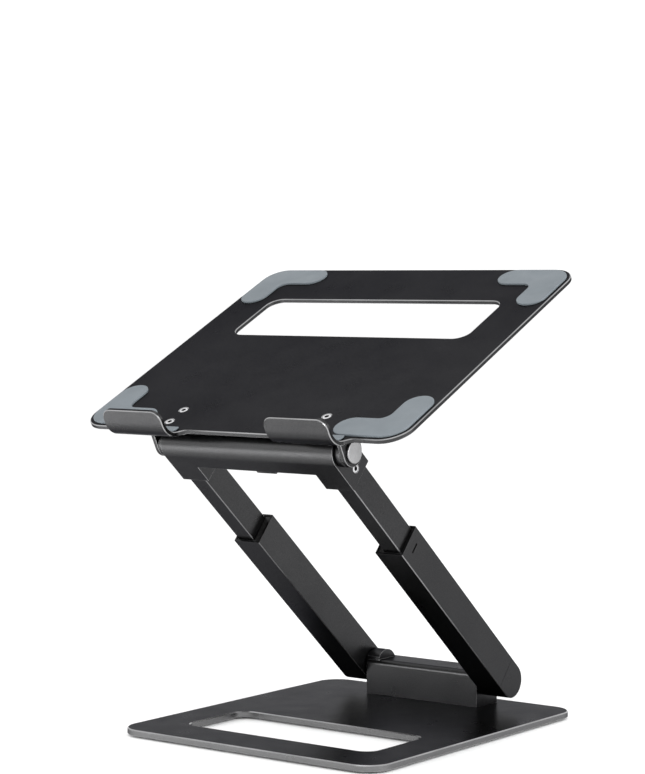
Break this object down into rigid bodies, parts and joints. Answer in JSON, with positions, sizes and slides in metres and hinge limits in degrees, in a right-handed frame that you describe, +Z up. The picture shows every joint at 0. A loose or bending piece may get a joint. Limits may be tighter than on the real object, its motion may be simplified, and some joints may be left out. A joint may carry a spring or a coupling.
{
  "type": "laptop stand",
  "caption": "Desk stand for a laptop: flat base plate, telescopic arms on friction hinges, and a tilting tray with front hooks and silicone pads.",
  "frame": {"origin": "on the floor, at the middle of the outline seen from above, at rest", "axes": "+X to the user's right, +Y towards the back where the lower hinge is, +Z up"},
  "size_m": [0.2942, 0.3078, 0.3514],
  "materials": {
    "anodised": "fine matte bead-blasted dark grey anodising with bright polished chamfers",
    "black_plastic": "fine matte black moulded plastic",
    "silicone": "soft matte blue-grey silicone",
    "foot_rubber": "matte dark anti-slip rubber",
    "polished_steel": "satin-polished stainless steel",
    "spring_steel": "plain dark zinc-plated steel",
    "bronze": "plain sintered bronze"
  },
  "bodies": {
    "base": {"base_plate": "anodised", "hinge_block": "anodised", "block_screw_1": "spring_steel", "block_screw_2": "spring_steel", "block_screw_3": "spring_steel", "block_screw_4": "spring_steel", "foot_front_left": "foot_rubber", "foot_rear_left": "foot_rubber", "shaft_bush_left": "bronze", "foot_front_right": "foot_rubber", "foot_rear_right": "foot_rubber", "shaft_bush_right": "bronze"},
    "lower_arms": {"lower_shaft": "spring_steel", "lower_lock_nut": "spring_steel", "lower_arm_left": "anodised", "arm_end_left": "anodised", "collar_left": "black_plastic", "friction_pad_left": "black_plastic", "leaf_spring_left": "spring_steel", "lower_springs_left": "spring_steel", "hinge_washer_left": "black_plastic", "lower_arm_right": "anodised", "arm_end_right": "anodised", "collar_right": "black_plastic", "friction_pad_right": "black_plastic", "leaf_spring_right": "spring_steel", "lower_springs_right": "spring_steel", "hinge_washer_right": "black_plastic"},
    "upper_arms": {"upper_arm_left": "anodised", "glide_left": "black_plastic", "yoke_screw_left": "polished_steel", "pin_spacer_left": "anodised", "pin_bush_left": "bronze", "upper_arm_right": "anodised", "glide_right": "black_plastic", "yoke_screw_right": "polished_steel", "pin_spacer_right": "anodised", "pin_bush_right": "bronze", "yoke": "anodised"},
    "tray": {"tray": "anodised", "tray_bracket_left": "anodised", "lip_pad_left": "silicone", "tray_pin_left": "polished_steel", "pin_springs_left": "spring_steel", "pin_nut_left": "spring_steel", "tray_screw_front_left": "polished_steel", "corner_pad_front_left": "silicone", "tray_screw_rear_left": "polished_steel", "corner_pad_rear_left": "silicone", "tray_bracket_right": "anodised", "lip_pad_right": "silicone", "tray_pin_right": "polished_steel", "pin_springs_right": "spring_steel", "pin_nut_right": "spring_steel", "tray_screw_front_right": "polished_steel", "corner_pad_front_right": "silicone", "tray_screw_rear_right": "polished_steel", "corner_pad_rear_right": "silicone"}
  },
  "joints": [
    {"name": "base_hinge", "type": "hinge", "parent": "base", "child": "lower_arms", "pos_m": [0, 0.1229, 0.0286], "axis": [-1, 0, 0], "range_deg": [-41, 49]},
    {"name": "arm_extension", "type": "slide", "parent": "lower_arms", "child": "upper_arms", "axis": [0, -0.7547, 0.6561], "range_m": [-0.06, 0.04]},
    {"name": "tray_tilt", "type": "hinge", "parent": "upper_arms", "child": "tray", "pos_m": [0, -0.10049, 0.22279], "axis": [1, 0, 0], "range_deg": [-67.2, 42.8]}
  ]
}
